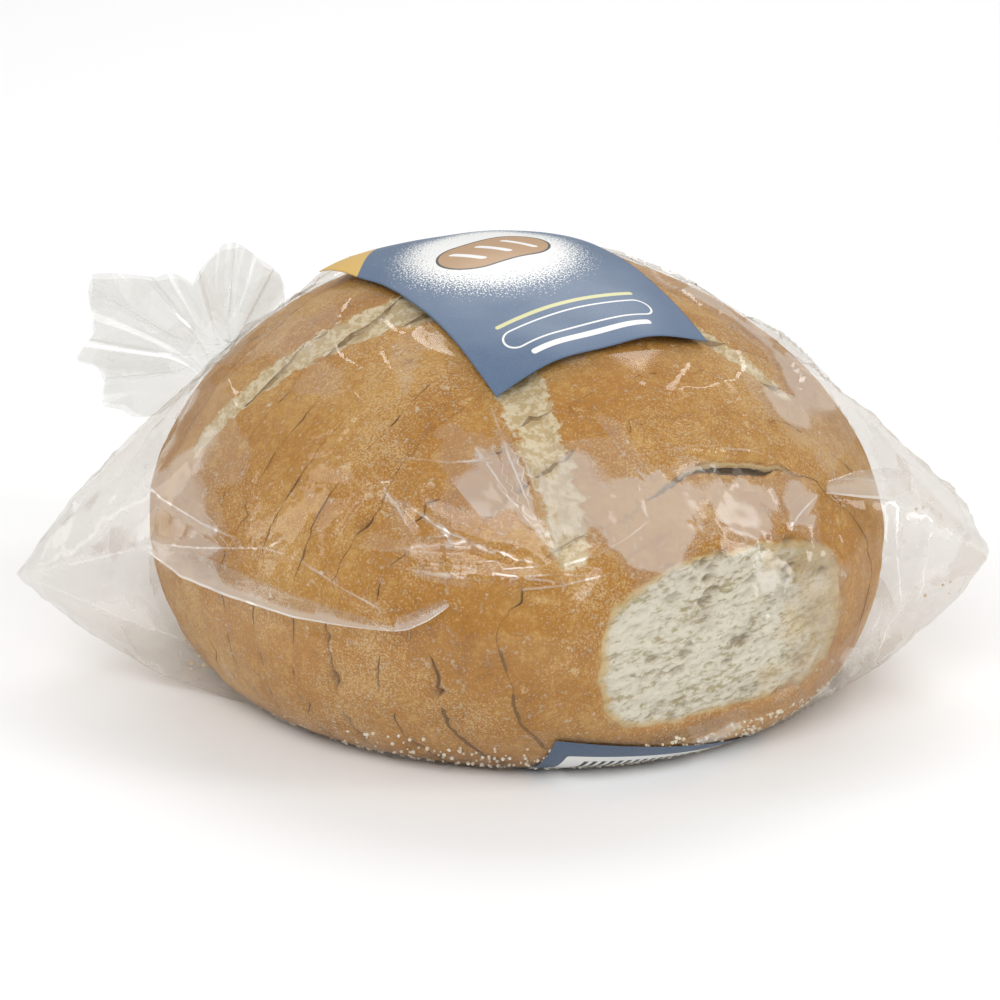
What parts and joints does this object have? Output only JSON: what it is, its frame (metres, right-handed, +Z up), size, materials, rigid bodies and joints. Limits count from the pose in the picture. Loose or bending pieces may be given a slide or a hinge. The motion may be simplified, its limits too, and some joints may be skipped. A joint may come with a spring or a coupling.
{
  "type": "bagged sliced sourdough loaf",
  "caption": "Round sliced sourdough loaf with a scored floury crust, in a clear bag drawn out to corners at its sides and gathered to a tied tail at the back, with plain paper labels.",
  "frame": {"origin": "on the surface the loaf stands on, under the middle of the loaf", "axes": "+Z up, +X from the bag's left corner to its right corner as the picture shows them, +Y towards the gathered tail at the back"},
  "size_m": [0.2271, 0.1933, 0.1026],
  "materials": {
    "bread_in_film": "browned, flour-dusted sourdough crust seen through thin clear glossy film",
    "label_paper": "printed muted blue paper label with a light gloss",
    "tie": "plain white plastic band"
  },
  "bodies": {
    "root": {"bagged_loaf": "bread_in_film", "top_label": "label_paper", "base_label": "label_paper", "neck_tie": "tie"}
  },
  "joints": []
}
